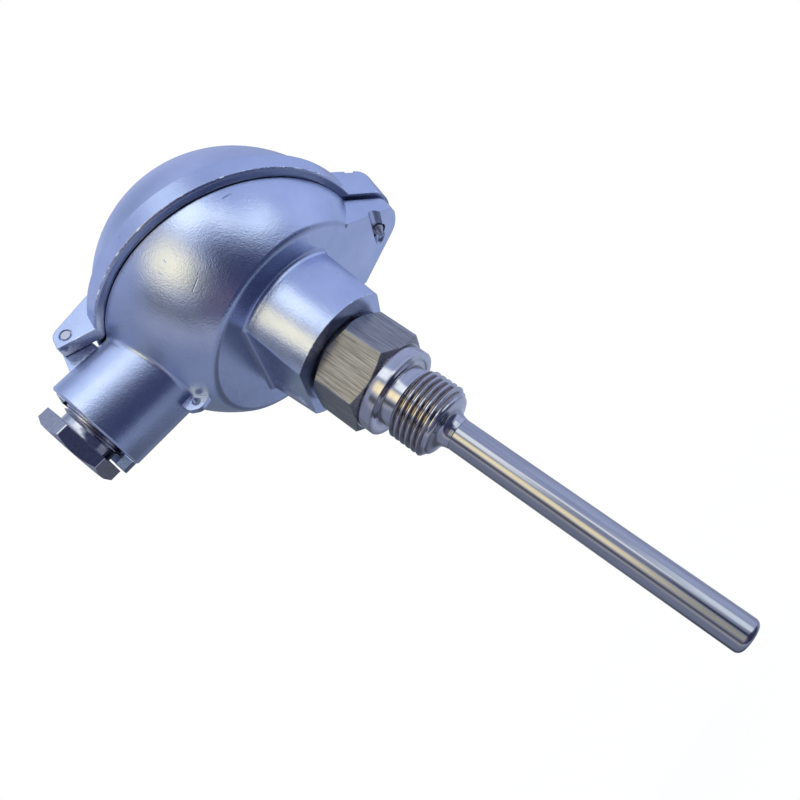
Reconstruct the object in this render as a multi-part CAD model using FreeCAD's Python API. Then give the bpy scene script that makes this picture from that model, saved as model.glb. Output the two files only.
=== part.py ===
"""Resistance thermometer with an inclined connection head.

Row frame, in millimetres: the origin is the centre of the sealing face of the process thread, +Z
runs up the probe's axis to the head, the cable entry and the cover hinge point to -X and the cover
screw to +X. The cover's own frame is tilted by COVER_TILT about Y: u runs across the rim towards
the screw, y is the row's Y, and h stands square on the rim plane.
"""
import math
import os

import FreeCAD
import Part

V = FreeCAD.Vector
X_AXIS = V(1, 0, 0)
Y_AXIS = V(0, 1, 0)
Z_AXIS = V(0, 0, 1)
ORIGIN = V(0, 0, 0)

# Driving sizes of the probe
INSERTION_LENGTH = 100.0
TUBE_D = 9.0
TUBE_WALL = 1.0
TIP_EDGE_R = 1.5
TIP_THICKNESS = 2.0
TUBE_SOCKET = 8.0
TUBE_SPIGOT_D = 8.4
TUBE_WELD_GROOVE = 0.3

# Process fitting
THREAD_D = 20.955
THREAD_END = 14.6
THREAD_CHAMFER = 1.0
RELIEF_D = 18.2
RELIEF_LENGTH = 3.6
NOSE_LENGTH = 4.4
NOSE_RIM = 0.6
COLLAR_D = 26.0
SEAT_INNER_D = 21.6
SEAT_RELIEF = 0.2
COLLAR_HEIGHT = 3.6
HEX_AF = 27.0
HEX_CHAMFER_D = 27.0
HEX_HEIGHT = 13.7
HEX_TURN = 32.0
HEX_STEP = 0.5
FITTING_UNDERCUT_D = 21.6
FITTING_UNDERCUT = 1.9
FITTING_TOP_D = 23.8
FITTING_TOP_LENGTH = 13.0

# Neck of the head
NECK_THREAD_CLEARANCE = 0.1
NECK_FACE_GAP = 2.1
NECK_FACE_D = 38.54
NECK_DRAFT = 1.55
NECK_FLATS = 31.0
NECK_CHAMFER = 2.0
NECK_PASSAGE_D = 20.0
PLATE_RECESS_DEPTH = 0.5
PLATE_RECESS_MARGIN = 3.0
UNDERSIDE_Z = 38.4
NECK_CORNER = 1.0
NECK_FILLET = 1.5

# Bowl of the head: a ball, cut flat below and cut at the tilted rim
BOWL_R = 40.6
BOWL_Z = 65.5
BOWL_WALL = 3.4
RIM_DROP = 7.0
FLOOR_THICKNESS = 4.0
COVER_TILT = 18.0
UNDERSIDE_ROUND = 2.5
RIM_GAP = 0.6
SPIGOT_STEP = 0.5
SPIGOT_ROOT = 2.0
SPIGOT_HEIGHT = 1.7

# Cable entry
ENTRY_Z = 60.0
ENTRY_D = 29.9
ENTRY_REACH = 58.0
ENTRY_CHAMFER = 0.5
ENTRY_BLEND = 1.5
ENTRY_BORE_DROP = 0.6
ENTRY_THREAD_D = 20.0
ENTRY_THREAD_LENGTH = 14.0
ENTRY_PASSAGE_D = 16.5
STOP_HEIGHT = 3.6
STOP_INNER_R = 11.3
STOP_MARGIN = 0.4
STOP_FROM = -15.0
STOP_TO = 167.0
STOP_SLOPE = 0.26

# Seal tab: a thin rib in the corner under the cable entry, drilled for a lead seal
TAB_CORNERS = [(-28.0, 48.0), (-30.3, 41.3), (-36.3, 40.1), (-38.9, 42.3), (-39.1, 48.0)]
TAB_ROUND = 2.2
TAB_THICKNESS = 2.0
TAB_HOLE_X = -35.6
TAB_HOLE_Z = 42.7
TAB_HOLE_D = 2.3

# Cover
MOUTH_FIT = 0.4
SKIRT_WALL = 2.5
SKIRT_HEIGHT = 6.8
SKIRT_EDGE = 0.5
SKIRT_CLEARANCE = 0.5
DOME_STEP = 1.3
DOME_SINK = 0.9
COVER_WALL = 3.0
GASKET_EDGE = 0.2
GASKET_WIDTH = 2.6
GASKET_THICKNESS = 1.5

# Hinge
PIN_OFFSET = 4.4
PIN_H = 3.2
PIN_D = 2.6
PIN_FIT = 0.03
PIN_RECESS_D = 3.6
PIN_RECESS = 0.7
ARM_OUTER_Y = 15.6
ARM_THICKNESS = 4.2
ARM_REACH = 3.4
ARM_HEEL_RISE = 0.4
ARM_TOP_INSET = 5.0
ARM_TOP_H = 11.8
KNUCKLE_GAP = 0.3
KNUCKLE_R = 3.6

# Cover screw and its two lugs
LATCH_TURN = -4.0
LID_LUG_OFFSET = 0.0
LID_LUG_R = 9.07
LUG_OFFSET = 1.5
LUG_R = 6.9
LUG_ROOT_DEPTH = 8.4
LUG_TAPER = 33.5
LUG_HEIGHT = 11.7
LUG_TOP_ROUND = 2.0
LUG_GAP = 1.0
LUG_GROOVE_WIDTH = 3.0
LUG_GROOVE_DEPTH = 2.0
LUG_GROOVE_SHIFT = 2.0
LUG_BOTTOM_R = 3.3
LUG_NOSE_X = 46.5
POCKET_WIDTH = 4.6
POCKET_CEILING = 6.2
POCKET_BACK = 3.0
SCREW_OFFSET = 1.2
SCREW_CORE_D = 3.9
SCREW_HOLE_D = 4.7
SCREW_CLEAR_D = 4.6
SCREW_HEAD_D = 7.4
SCREW_HEAD_HEIGHT = 3.0
SCREW_HEAD_POCKET_D = 8.4
SCREW_HEAD_SEAT = 8.2
SCREW_SEAT_GAP = 0.03
SCREW_TIP_LENGTH = 2.2
SCREW_STANDOUT = 2.4
SCREW_SLOT = 1.2
SCREW_TRAVEL = 5.0
RETAINER_D = 5.5
RETAINER_ROOM = 0.3
RETAINER_THICKNESS = 0.8
RETAINER_GAP = 0.25

# Cable-entry plug
PLUG_AF = 22.0
PLUG_HEX_LENGTH = 4.4
PLUG_HEX_TURN = 21.0
PLUG_NECK_D = 16.7
PLUG_STANDOUT = 4.1
PLUG_NECK_LENGTH = 2.0
PLUG_THREAD_D = 19.8
PLUG_THREAD_LENGTH = 12.0
PLUG_BORE_D = 12.0
PLUG_BORE_DEPTH = 9.0

# Measuring insert
PLATE_D = 42.0
PLATE_THICKNESS = 1.5
PLATE_LIFT = 2.0
POST_D = 7.0
POST_HEIGHT = 2.5
SCREW_PITCH = 33.0
INSERT_SCREW_D = 3.4
INSERT_SCREW_HOLE_D = 3.5
INSERT_SCREW_BITE = 4.0
INSERT_HEAD_D = 7.6
INSERT_HEAD_HEIGHT = 2.6
INSERT_SLOT = 1.0
PLATE_HOLE_D = 4.6
SPRING_LENGTH = 8.0
SPRING_D = 7.2
SPRING_WIRE = 0.8
SPRING_TURNS = 4.5
SPRING_STEPS = 14
SPRING_SIDES = 6
SHEATH_D = 6.0
SHEATH_WALL = 0.8
SHEATH_STANDOUT = 3.0
SHEATH_TIP_THICKNESS = 1.0
INSERT_TRAVEL = 2.5
SENSOR_D = 3.0
SENSOR_LENGTH = 15.0
BLOCK_D = 38.0
BLOCK_HEIGHT = 11.0
BLOCK_BORE_D = 10.0
BLOCK_SCREW_WELL_D = 9.6
BLOCK_RIB = 1.6
BLOCK_RIB_HEIGHT = 4.0
CLAMP_SIZE = 6.4
CLAMP_HEIGHT = 7.0
CLAMP_X = 11.2
CLAMP_Y = 4.6
CLAMP_BORE_D = 2.4
CLAMP_SCREW_D = 3.0
CLAMP_SCREW_HEAD_D = 5.4
CLAMP_SCREW_HEAD = 1.8
WIRE_D = 1.4
WIRE_SPREAD = 0.95
WIRE_BEND = 2.5
WIRE_STRAIGHT = 2.2
WIRE_GRIP = 3.0

# Earth screw on the floor of the head
EARTH_X = 24.9
EARTH_BOSS_D = 6.4
EARTH_BOSS_HEIGHT = 2.5
EARTH_SCREW_D = 3.4
EARTH_HEAD_D = 6.6
EARTH_HEAD_HEIGHT = 2.4
EARTH_WASHER_D = 7.6
EARTH_WASHER_THICKNESS = 1.0
EARTH_BITE = 3.6

# Long enough for a cutter to pass right through whatever it cuts
THROUGH = 60.0

# Sizes that follow
HEX_BOTTOM = COLLAR_HEIGHT + HEX_STEP
HEX_TOP = HEX_BOTTOM + HEX_HEIGHT
NECK_FACE_Z = HEX_TOP + NECK_FACE_GAP
FITTING_TOP_Z = HEX_TOP + FITTING_TOP_LENGTH
FLOOR_Z = UNDERSIDE_Z + FLOOR_THICKNESS
NOSE_END = THREAD_END + NOSE_LENGTH
RIM_R = math.sqrt(BOWL_R ** 2 - RIM_DROP ** 2)
SPIGOT_R = RIM_R - SPIGOT_STEP
MOUTH_R = SPIGOT_R + MOUTH_FIT
SKIRT_R = MOUTH_R + SKIRT_WALL
DOME_R = SKIRT_R - DOME_STEP
PIN_U = -SKIRT_R - PIN_OFFSET
ARM_TOP_U = -SKIRT_R + ARM_TOP_INSET
LID_LUG_U = SKIRT_R + LID_LUG_OFFSET
LUG_U = SKIRT_R + LUG_OFFSET
LUG_ROOT_U = SKIRT_R - LUG_ROOT_DEPTH
SCREW_U = SKIRT_R + SCREW_OFFSET
TILT = math.radians(COVER_TILT)
RIM_CENTRE = V(-RIM_DROP * math.sin(TILT), 0, BOWL_Z - RIM_DROP * math.cos(TILT))
POST_TOP = FLOOR_Z + POST_HEIGHT
PLATE_Z = POST_TOP + PLATE_LIFT
PLATE_TOP = PLATE_Z + PLATE_THICKNESS
BLOCK_TOP = PLATE_TOP + BLOCK_HEIGHT
SPRING_TOP = PLATE_TOP + SPRING_LENGTH
SHEATH_TIP = -INSERTION_LENGTH + TIP_THICKNESS
ENTRY_BORE_Z = ENTRY_Z - ENTRY_BORE_DROP


def cylinder(radius, low, high):
    """Upright cylinder on the probe's axis between two heights."""
    return Part.makeCylinder(radius, high - low, V(0, 0, low), Z_AXIS)


def cone(low_radius, high_radius, low, high):
    return Part.makeCone(low_radius, high_radius, high - low, V(0, 0, low), Z_AXIS)


def revolve(points, axis=Z_AXIS):
    """Turned solid from (radius, height) points in the XZ plane."""
    corners = [V(r, 0, z) for r, z in points]
    outline = Part.makePolygon(corners + corners[:1])
    return Part.Face(outline).revolve(ORIGIN, axis, 360)


def hexagon(across_flats, low, high, turn=0.0):
    radius = across_flats / math.sqrt(3)
    angles = [math.radians(turn + 60 * k) for k in range(7)]
    wire = Part.makePolygon([V(radius * math.cos(a), radius * math.sin(a), low) for a in angles])
    return Part.Face(wire).extrude(V(0, 0, high - low))


def chamfer_cones(across_flats, face_d, low, high):
    """The double cone that bevels the corners of a hexagon."""
    corner = across_flats / math.sqrt(3) + 0.5
    drop = (corner - face_d / 2) * math.tan(math.radians(30))
    return revolve([(0, low), (face_d / 2, low), (corner, low + drop), (corner, high - drop),
                    (face_d / 2, high), (0, high)])


def box(x_low, x_high, y_low, y_high, z_low, z_high):
    return Part.makeBox(x_high - x_low, y_high - y_low, z_high - z_low, V(x_low, y_low, z_low))


def to_cover(shape):
    """Moves a shape that was drawn in (u, y, h) to its place in the row frame."""
    moved = shape.copy()
    turn = FreeCAD.Rotation(Y_AXIS, COVER_TILT)
    moved.Placement = FreeCAD.Placement(RIM_CENTRE, turn).multiply(moved.Placement)
    return moved


def to_latch(shape):
    """Turns a shape about the cover's centre line to where the screw lugs stand."""
    turned = shape.copy()
    turned.rotate(ORIGIN, Z_AXIS, LATCH_TURN)
    return turned


def to_entry(shape, height):
    """Lays a shape drawn along +Z so that it points out of the cable entry."""
    laid = shape.copy()
    laid.rotate(ORIGIN, Y_AXIS, -90)
    laid.translate(V(0, 0, height))
    return laid


def rounded_path(points, radius, closed=False):
    """Lines through the points, with every corner between two of them rounded."""
    count = len(points)
    corners = range(count) if closed else range(1, count - 1)
    cut = {}
    for k in corners:
        back = (points[k - 1] - points[k]).normalize()
        ahead = (points[(k + 1) % count] - points[k]).normalize()
        half = back.getAngle(ahead) / 2
        trim = radius / math.tan(half)
        centre = points[k] + (back + ahead).normalize() * (radius / math.sin(half))
        inward = (points[k] - centre).normalize()
        cut[k] = (points[k] + back * trim, centre + inward * radius, points[k] + ahead * trim)
    edges = []
    for k in range(count if closed else count - 1):
        n = (k + 1) % count
        start = cut[k][2] if k in cut else points[k]
        finish = cut[n][0] if n in cut else points[n]
        if (finish - start).Length > 0.001:
            edges.append(Part.makeLine(start, finish))
        if n in cut:
            edges.append(Part.Arc(*cut[n]).toShape())
    return Part.Wire(edges)


def edges_at_height(shape, height, reach):
    """Edges that lie flat at a height, within a radius of the probe's axis."""
    found = []
    for edge in shape.Edges:
        b = edge.BoundBox
        flat = abs(b.ZMin - height) < 0.01 and abs(b.ZMax - height) < 0.01
        if flat and max(abs(b.XMin), abs(b.XMax), abs(b.YMin), abs(b.YMax)) < reach:
            found.append(edge)
    return found


def process_fitting():
    thread_r = THREAD_D / 2
    nose_r = TUBE_D / 2 + NOSE_RIM
    body = revolve([
        (0, -NOSE_END), (nose_r, -NOSE_END), (nose_r + 0.5, -NOSE_END + 1.4),
        (RELIEF_D / 2 - 1.2, -THREAD_END - 0.6), (RELIEF_D / 2, -THREAD_END),
        (thread_r, -THREAD_END + THREAD_CHAMFER), (thread_r, -RELIEF_LENGTH - 1.0),
        (RELIEF_D / 2, -RELIEF_LENGTH), (RELIEF_D / 2, SEAT_RELIEF),
        (SEAT_INNER_D / 2, SEAT_RELIEF), (SEAT_INNER_D / 2, 0), (COLLAR_D / 2, 0),
        (COLLAR_D / 2, COLLAR_HEIGHT), (COLLAR_D / 2 - 1.0, HEX_BOTTOM), (0, HEX_BOTTOM)])
    nut = hexagon(HEX_AF, HEX_BOTTOM, HEX_TOP, HEX_TURN)
    nut = nut.common(chamfer_cones(HEX_AF, HEX_CHAMFER_D, HEX_BOTTOM, HEX_TOP))
    top = cylinder(FITTING_UNDERCUT_D / 2, HEX_TOP, HEX_TOP + FITTING_UNDERCUT)
    screwed = cylinder(FITTING_TOP_D / 2, HEX_TOP + FITTING_UNDERCUT, FITTING_TOP_Z)
    fitting = body.fuse([nut, top, screwed]).removeSplitter()
    bore = cylinder(TUBE_D / 2 - TUBE_WALL, -NOSE_END - 1, FITTING_TOP_Z + 1)
    socket = cylinder(TUBE_SPIGOT_D / 2, -NOSE_END - 1, -TUBE_SOCKET)
    return fitting.cut([bore, socket])


def stem_tube():
    """Closed tube whose turned-down end sits in the fitting's nose."""
    groove = -NOSE_END - TUBE_WELD_GROOVE
    outer = cylinder(TUBE_D / 2, -INSERTION_LENGTH, groove)
    rim = [e for e in outer.Edges if abs(e.BoundBox.ZMax + INSERTION_LENGTH) < 0.01]
    outer = outer.makeFillet(TIP_EDGE_R, rim)
    shoulder = cone(TUBE_D / 2, TUBE_SPIGOT_D / 2, groove, -NOSE_END)
    spigot = cylinder(TUBE_SPIGOT_D / 2, -NOSE_END, -TUBE_SOCKET)
    inner = cylinder(TUBE_D / 2 - TUBE_WALL, SHEATH_TIP, -TUBE_SOCKET + 1)
    return outer.fuse([shoulder, spigot]).cut(inner)


def bowl_outside():
    """Ball with a flat underside and the entry boss, cut square to the tilted rim."""
    ball = Part.makeSphere(BOWL_R, V(0, 0, BOWL_Z))
    ball = ball.common(cylinder(BOWL_R * 2, UNDERSIDE_Z, BOWL_Z + BOWL_R))
    ball = ball.makeFillet(UNDERSIDE_ROUND, edges_at_height(ball, UNDERSIDE_Z, BOWL_R))
    joined = ball.fuse(entry_barrel())
    seam = [e for e in joined.Edges if is_boss_seam(e)]
    joined = joined.makeFillet(ENTRY_BLEND, seam)
    below_rim = to_cover(cylinder(BOWL_R * 3, -BOWL_R * 2, -RIM_GAP))
    spigot = to_cover(cylinder(SPIGOT_R, -SPIGOT_ROOT, SPIGOT_HEIGHT))
    return joined.common(below_rim).fuse(spigot)


def is_boss_seam(edge):
    """True for the curve where the entry boss leaves the ball."""
    b = edge.BoundBox
    round_boss = b.YLength > ENTRY_D - 1 and b.ZLength > ENTRY_D - 1
    return round_boss and b.XMax < -BOWL_R / 2 and b.XMin > -BOWL_R


def bowl_inside():
    inner_r = BOWL_R - BOWL_WALL
    ball = Part.makeSphere(inner_r, V(0, 0, BOWL_Z))
    rim_inner = math.sqrt(inner_r ** 2 - RIM_DROP ** 2)
    below_rim = to_cover(Part.makeCylinder(BOWL_R * 2, BOWL_R * 2, V(0, 0, -BOWL_R * 2), Z_AXIS))
    above_floor = cylinder(BOWL_R * 2, FLOOR_Z, BOWL_Z + BOWL_R)
    mouth = to_cover(cylinder(rim_inner, 0, SPIGOT_HEIGHT + 1))
    return ball.common(below_rim).common(above_floor).fuse(mouth)


def neck():
    """Drafted neck with two flats and a shallow plate recess in the flat under the entry."""
    height = UNDERSIDE_Z - NECK_FACE_Z
    face_r = NECK_FACE_D / 2
    root_r = face_r + NECK_DRAFT * 2
    body = cone(face_r, root_r, NECK_FACE_Z, UNDERSIDE_Z + 1)
    flats = box(-NECK_FLATS / 2, NECK_FLATS / 2, -root_r, root_r, NECK_FACE_Z, UNDERSIDE_Z + 1)
    body = body.common(flats)
    corners = [e for e in body.Edges if e.BoundBox.ZLength > height]
    body = body.makeFillet(NECK_CORNER, corners)
    half_width = math.sqrt(face_r ** 2 - (NECK_FLATS / 2) ** 2) - PLATE_RECESS_MARGIN / 2
    recess = box(-NECK_FLATS / 2 - 1, -NECK_FLATS / 2 + PLATE_RECESS_DEPTH,
                 -half_width, half_width,
                 NECK_FACE_Z + PLATE_RECESS_MARGIN, NECK_FACE_Z + height - PLATE_RECESS_MARGIN)
    return body.cut(recess)


def neck_bore():
    thread_r = FITTING_TOP_D / 2 + NECK_THREAD_CLEARANCE
    return revolve([
        (0, NECK_FACE_Z - 1), (thread_r + NECK_CHAMFER + 1, NECK_FACE_Z - 1),
        (thread_r, NECK_FACE_Z + NECK_CHAMFER), (thread_r, FITTING_TOP_Z),
        (NECK_PASSAGE_D / 2, FITTING_TOP_Z), (NECK_PASSAGE_D / 2, FLOOR_Z + 1), (0, FLOOR_Z + 1)])


def entry_barrel():
    radius = ENTRY_D / 2
    inside = BOWL_R / 2
    barrel = revolve([(0, inside), (radius, inside), (radius, ENTRY_REACH - ENTRY_CHAMFER),
                      (radius - ENTRY_CHAMFER, ENTRY_REACH), (0, ENTRY_REACH)])
    return to_entry(barrel, ENTRY_Z)


def entry_stop():
    """Raised stop round the far half of the boss end, sloping away to nothing at the top."""
    outer = ENTRY_D / 2 - STOP_MARGIN
    root = ENTRY_REACH - 1
    top = ENTRY_REACH + STOP_HEIGHT
    corners = [V(STOP_INNER_R, 0, root), V(outer, 0, root), V(outer, 0, top), V(STOP_INNER_R, 0, top)]
    ring = Part.Face(Part.makePolygon(corners + corners[:1])).revolve(ORIGIN, Z_AXIS, STOP_TO - STOP_FROM)
    ring.rotate(ORIGIN, Z_AXIS, STOP_FROM)
    flat_from = ENTRY_D / 2 - STOP_HEIGHT / STOP_SLOPE
    side = [V(-ENTRY_D, -ENTRY_D, root), V(ENTRY_D / 2, -ENTRY_D, root),
            V(ENTRY_D / 2, -ENTRY_D, ENTRY_REACH), V(flat_from, -ENTRY_D, top + 0.01),
            V(-ENTRY_D, -ENTRY_D, top + 0.01)]
    slope = Part.Face(Part.makePolygon(side + side[:1])).extrude(V(0, 2 * ENTRY_D, 0))
    return to_entry(ring.common(slope), ENTRY_Z)


def entry_bore():
    thread_depth = ENTRY_REACH - ENTRY_THREAD_LENGTH
    inside = BOWL_R / 2
    return to_entry(revolve([
        (0, inside), (ENTRY_PASSAGE_D / 2, inside), (ENTRY_PASSAGE_D / 2, thread_depth),
        (ENTRY_THREAD_D / 2, thread_depth + 1.0), (ENTRY_THREAD_D / 2, ENTRY_REACH - 0.6),
        (ENTRY_THREAD_D / 2 + 0.8, ENTRY_REACH + 0.2), (0, ENTRY_REACH + 0.2)]), ENTRY_BORE_Z)


def lug_plan(centre_u, end_radius):
    """Eye-shaped plan of a screw lug: a round end and two flanks that widen to the bowl."""
    taper = math.radians(LUG_TAPER)
    tangent_u = centre_u + end_radius * math.sin(taper)
    tangent_y = end_radius * math.cos(taper)
    root_y = tangent_y + (tangent_u - LUG_ROOT_U) * math.tan(taper)
    flank_low = V(LUG_ROOT_U, -root_y, 0)
    low = V(tangent_u, -tangent_y, 0)
    high = V(tangent_u, tangent_y, 0)
    flank_high = V(LUG_ROOT_U, root_y, 0)
    end = Part.Arc(low, V(centre_u + end_radius, 0, 0), high).toShape()
    inner = V(LUG_ROOT_U / 2, 0, 0)
    edges = [Part.makeLine(flank_low, low), end, Part.makeLine(high, flank_high),
             Part.makeLine(flank_high, inner), Part.makeLine(inner, flank_low)]
    return Part.Face(Part.Wire(edges))


def housing_lug():
    """Lug under the cover screw: flat below like the bowl, with a rounded nose."""
    depth = 30.0
    plan = lug_plan(LUG_U, LUG_R)
    plan.translate(V(0, 0, -depth))
    lug = to_cover(to_latch(plan.extrude(V(0, 0, depth - LUG_GAP))))
    nose_x = LUG_NOSE_X
    nose_z = UNDERSIDE_Z + LUG_BOTTOM_R
    reach = BOWL_R * 2
    flat = V(nose_x - LUG_BOTTOM_R, -reach, UNDERSIDE_Z)
    corner = V(nose_x - LUG_BOTTOM_R * (1 - math.sqrt(0.5)), -reach,
               nose_z - LUG_BOTTOM_R * math.sqrt(0.5))
    side = V(nose_x, -reach, nose_z)
    top = V(nose_x + 12, -reach, nose_z + 14)
    far_top = V(0, -reach, nose_z + 14)
    far_low = V(0, -reach, UNDERSIDE_Z)
    outline = Part.Wire([
        Part.makeLine(far_low, flat), Part.Arc(flat, corner, side).toShape(),
        Part.makeLine(side, top), Part.makeLine(top, far_top), Part.makeLine(far_top, far_low)])
    side_view = Part.Face(outline).extrude(V(0, 2 * reach, 0))
    return lug.common(side_view)


def housing_lug_cuts():
    """Screw hole, its mouth, and the round-topped slot that opens to the near flank and below."""
    half = POCKET_WIDTH / 2
    arch_h = -POCKET_CEILING - half
    hole = Part.makeCylinder(SCREW_HOLE_D / 2, -arch_h, V(SCREW_U, 0, arch_h), Z_AXIS)
    mouth = Part.makeCone(SCREW_HOLE_D / 2, SCREW_HOLE_D / 2 + 0.8, 0.8,
                          V(SCREW_U, 0, -LUG_GAP - 0.8), Z_AXIS)
    length = THROUGH + POCKET_BACK
    slot = Part.makeBox(POCKET_WIDTH, length, THROUGH, V(SCREW_U - half, -THROUGH, arch_h - THROUGH))
    arch = Part.makeCylinder(half, length, V(SCREW_U, -THROUGH, arch_h), Y_AXIS)
    end = Part.makeCylinder(half, THROUGH, V(SCREW_U, POCKET_BACK, arch_h - THROUGH), Z_AXIS)
    top = Part.makeSphere(half, V(SCREW_U, POCKET_BACK, arch_h))
    cuts = [hole, mouth, slot.fuse([arch, end, top])]
    return [to_cover(to_latch(c)) for c in cuts]


def knuckle():
    """Hinge knuckle between the cover's arms, running down into the bowl and the entry boss."""
    half = ARM_OUTER_Y - ARM_THICKNESS - KNUCKLE_GAP
    eye = Part.makeCylinder(KNUCKLE_R, 2 * half, V(PIN_U, -half, PIN_H), Y_AXIS)
    foot = [V(PIN_U - KNUCKLE_R, -half, PIN_H), V(PIN_U - KNUCKLE_R - 0.6, -half, PIN_H - 12),
            V(PIN_U + 14, -half, PIN_H - 20), V(PIN_U + KNUCKLE_R + 2.0, -half, PIN_H - 6),
            V(PIN_U + KNUCKLE_R, -half, PIN_H)]
    web = Part.Face(Part.makePolygon(foot + foot[:1])).extrude(V(0, 2 * half, 0))
    return to_cover(eye.fuse(web))


def seal_tab():
    """Thin drilled rib in the corner between the bowl and the cable entry."""
    corners = [V(x, -TAB_THICKNESS / 2, z) for x, z in TAB_CORNERS]
    return Part.Face(rounded_path(corners, TAB_ROUND, True)).extrude(V(0, TAB_THICKNESS, 0))


def posts():
    shapes = []
    for side in (-1, 1):
        foot = V(0, side * SCREW_PITCH / 2, FLOOR_Z - 1)
        shapes.append(Part.makeCylinder(POST_D / 2, POST_HEIGHT + 1, foot, Z_AXIS))
    earth = V(EARTH_X, 0, FLOOR_Z - 1)
    shapes.append(Part.makeCylinder(EARTH_BOSS_D / 2, EARTH_BOSS_HEIGHT + 1, earth, Z_AXIS))
    return shapes


def post_holes():
    shapes = []
    for side in (-1, 1):
        start = V(0, side * SCREW_PITCH / 2, POST_TOP - INSERT_SCREW_BITE - 0.5)
        shapes.append(Part.makeCylinder(INSERT_SCREW_HOLE_D / 2, 20, start, Z_AXIS))
    earth = V(EARTH_X, 0, FLOOR_Z + EARTH_BOSS_HEIGHT - EARTH_BITE - 0.3)
    shapes.append(Part.makeCylinder(INSERT_SCREW_HOLE_D / 2, 20, earth, Z_AXIS))
    return shapes


def head_housing():
    bowl = bowl_outside().fuse(neck())
    root = edges_at_height(bowl, UNDERSIDE_Z, NECK_FACE_D / 2 + NECK_DRAFT * 2)
    bowl = bowl.makeFillet(NECK_FILLET, root)
    skirt_room = to_cover(cylinder(SKIRT_R + SKIRT_CLEARANCE, -RIM_GAP, 2 * BOWL_R))
    hinge = knuckle().cut(skirt_room)
    outside = bowl.fuse([entry_stop(), housing_lug(), hinge, seal_tab()])
    shell = outside.cut([bowl_inside(), neck_bore(), entry_bore()])
    shell = shell.fuse(posts())
    pin = Part.makeCylinder(PIN_D / 2 + PIN_FIT, THROUGH, V(PIN_U, -THROUGH / 2, PIN_H), Y_AXIS)
    tab_hole = Part.makeCylinder(TAB_HOLE_D / 2, THROUGH, V(TAB_HOLE_X, -THROUGH / 2, TAB_HOLE_Z), Y_AXIS)
    return shell.cut(post_holes() + housing_lug_cuts() + [to_cover(pin), tab_hole])


def hinge_arms():
    """Two cheeks that carry the pin: flat below, round at the pin, sloped up to the dome."""
    heel = V(PIN_U - ARM_REACH, 0, ARM_HEEL_RISE)
    back = V(PIN_U - ARM_REACH, 0, PIN_H)
    crest_angle = math.radians(120)
    crest = V(PIN_U + ARM_REACH * math.cos(crest_angle), 0, PIN_H + ARM_REACH * math.sin(crest_angle))
    mid_angle = math.radians(150)
    middle = V(PIN_U + ARM_REACH * math.cos(mid_angle), 0, PIN_H + ARM_REACH * math.sin(mid_angle))
    top = V(ARM_TOP_U, 0, ARM_TOP_H)
    inside = V(ARM_TOP_U + ARM_TOP_INSET / 2, 0, ARM_TOP_H)
    root = V(ARM_TOP_U + ARM_TOP_INSET / 2, 0, 0)
    outline = Part.Wire([
        Part.makeLine(root, heel), Part.makeLine(heel, back), Part.Arc(back, middle, crest).toShape(),
        Part.makeLine(crest, top), Part.makeLine(top, inside), Part.makeLine(inside, root)])
    arms = []
    for low in (-ARM_OUTER_Y, ARM_OUTER_Y - ARM_THICKNESS):
        cheek = Part.Face(outline).extrude(V(0, ARM_THICKNESS, 0))
        cheek.translate(V(0, low, 0))
        arms.append(cheek)
    return arms


def cover_lug():
    """Lug on the cover with a rounded top edge and a groove across beside the screw."""
    lug = lug_plan(LID_LUG_U, LID_LUG_R).extrude(V(0, 0, LUG_HEIGHT))
    rim = [e for e in edges_at_height(lug, LUG_HEIGHT, THROUGH) if e.BoundBox.XMax > LID_LUG_U]
    lug = lug.makeFillet(LUG_TOP_ROUND, rim)
    low = V(SCREW_U + LUG_GROOVE_SHIFT - LUG_GROOVE_WIDTH / 2, -THROUGH / 2, LUG_HEIGHT - LUG_GROOVE_DEPTH)
    groove = Part.makeBox(LUG_GROOVE_WIDTH, THROUGH, LUG_HEIGHT, low)
    return to_latch(lug.cut(groove))


def cover_lug_cuts():
    bore = Part.makeCylinder(SCREW_CLEAR_D / 2, THROUGH, V(SCREW_U, 0, -1), Z_AXIS)
    pocket = Part.makeCylinder(SCREW_HEAD_POCKET_D / 2, THROUGH, V(SCREW_U, 0, SCREW_HEAD_SEAT), Z_AXIS)
    ring_top = RETAINER_GAP + RETAINER_THICKNESS + SCREW_TRAVEL + 0.15
    ring = Part.makeCylinder(RETAINER_D / 2 + RETAINER_ROOM, ring_top + 1, V(SCREW_U, 0, -1), Z_AXIS)
    return [to_latch(c) for c in (bore, pocket, ring)]


def dome(radius):
    ball = Part.makeSphere(radius, V(0, 0, -DOME_SINK))
    return ball.common(cylinder(DOME_R * 2, 0, DOME_R * 2))


def head_cover():
    skirt = revolve([(0, 0), (SKIRT_R - SKIRT_EDGE, 0), (SKIRT_R, SKIRT_EDGE),
                     (SKIRT_R, SKIRT_HEIGHT - 1.0), (SKIRT_R - 1.0, SKIRT_HEIGHT), (0, SKIRT_HEIGHT)])
    outside = skirt.fuse([dome(DOME_R), cover_lug()] + hinge_arms())
    seat = SPIGOT_HEIGHT + GASKET_THICKNESS
    inner_r = math.sqrt((DOME_R - COVER_WALL) ** 2 - (seat + DOME_SINK) ** 2)
    mouth = cylinder(MOUTH_R, -1, seat)
    throat = cylinder(inner_r, -1, seat + 0.01)
    hollow = Part.makeSphere(DOME_R - COVER_WALL, V(0, 0, -DOME_SINK))
    hollow = hollow.common(cylinder(DOME_R * 2, seat, DOME_R * 2))
    pin = Part.makeCylinder(PIN_D / 2, THROUGH, V(PIN_U, -THROUGH / 2, PIN_H), Y_AXIS)
    rings = []
    for start in (-ARM_OUTER_Y - 1, ARM_OUTER_Y - PIN_RECESS):
        rings.append(Part.makeCylinder(PIN_RECESS_D / 2, PIN_RECESS + 1, V(PIN_U, start, PIN_H), Y_AXIS))
    shell = outside.cut([mouth, throat, hollow, pin] + rings + cover_lug_cuts())
    return to_cover(shell)


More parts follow.
